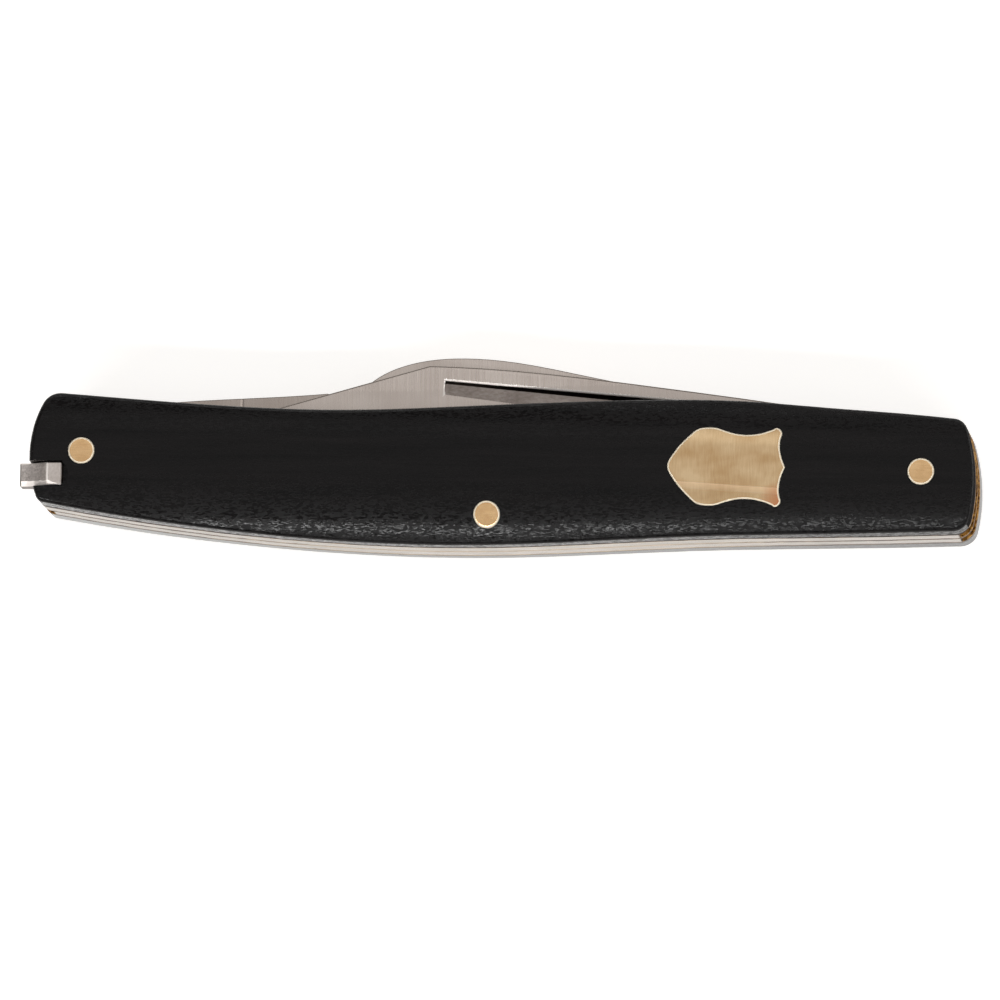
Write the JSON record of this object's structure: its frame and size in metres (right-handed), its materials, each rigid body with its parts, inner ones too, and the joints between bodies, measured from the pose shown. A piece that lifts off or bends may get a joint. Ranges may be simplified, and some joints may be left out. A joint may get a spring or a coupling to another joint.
{
  "type": "folding pocket knife",
  "caption": "Folding stock knife with clip, sheepfoot and pen blades on back springs, black crowned scales, brass liners, pins and crest shield, and a pull-out splinter pick.",
  "frame": {"origin": "on the flat strip of the rear scale's outer face, near the middle of the handle", "axes": "+X along the handle towards the main blade's pivot, +Y towards the blade side, +Z through the thickness towards the front scale"},
  "size_m": [0.0986, 0.0202, 0.0129],
  "materials": {
    "scale": "satin black, fine lengthwise grain",
    "liner": "satin brass",
    "spring": "lengthwise polish",
    "blade": "satin, ground across the blade",
    "pin": "ground flush",
    "shield": "polished, fine scratches",
    "pick": "satin, ground scoop"
  },
  "bodies": {
    "handle": {"front_scale": "scale", "rear_scale": "scale", "front_liner": "liner", "centre_liner": "liner", "rear_liner": "liner", "front_spring": "spring", "rear_spring": "spring", "main_pivot_pin": "pin", "small_pivot_pin": "pin", "spring_pin": "pin", "shield": "shield", "shield_pins": "pin"},
    "clip_blade": {"clip_blade": "blade"},
    "sheepfoot_blade": {"sheepfoot_blade": "blade"},
    "pen_blade": {"pen_blade": "blade"},
    "splinter_pick": {"splinter_pick": "pick"}
  },
  "joints": [
    {"name": "clip_open", "type": "hinge", "parent": "handle", "child": "clip_blade", "pos_m": [0.04275, -0.0002, 0], "axis": [0, 0, -1], "range_deg": [0, 180], "deforming": ["front_spring"]},
    {"name": "sheepfoot_open", "type": "hinge", "parent": "handle", "child": "sheepfoot_blade", "pos_m": [0.04275, -0.0002, 0], "axis": [0, 0, -1], "range_deg": [0, 180], "deforming": ["rear_spring"]},
    {"name": "pen_open", "type": "hinge", "parent": "handle", "child": "pen_blade", "pos_m": [-0.0439, 0.002, 0], "axis": [0, 0, 1], "range_deg": [0, 180], "deforming": ["rear_spring"]},
    {"name": "pick_pull", "type": "slide", "parent": "handle", "child": "splinter_pick", "axis": [-1, 0, 0], "range_m": [0, 0.046]}
  ]
}
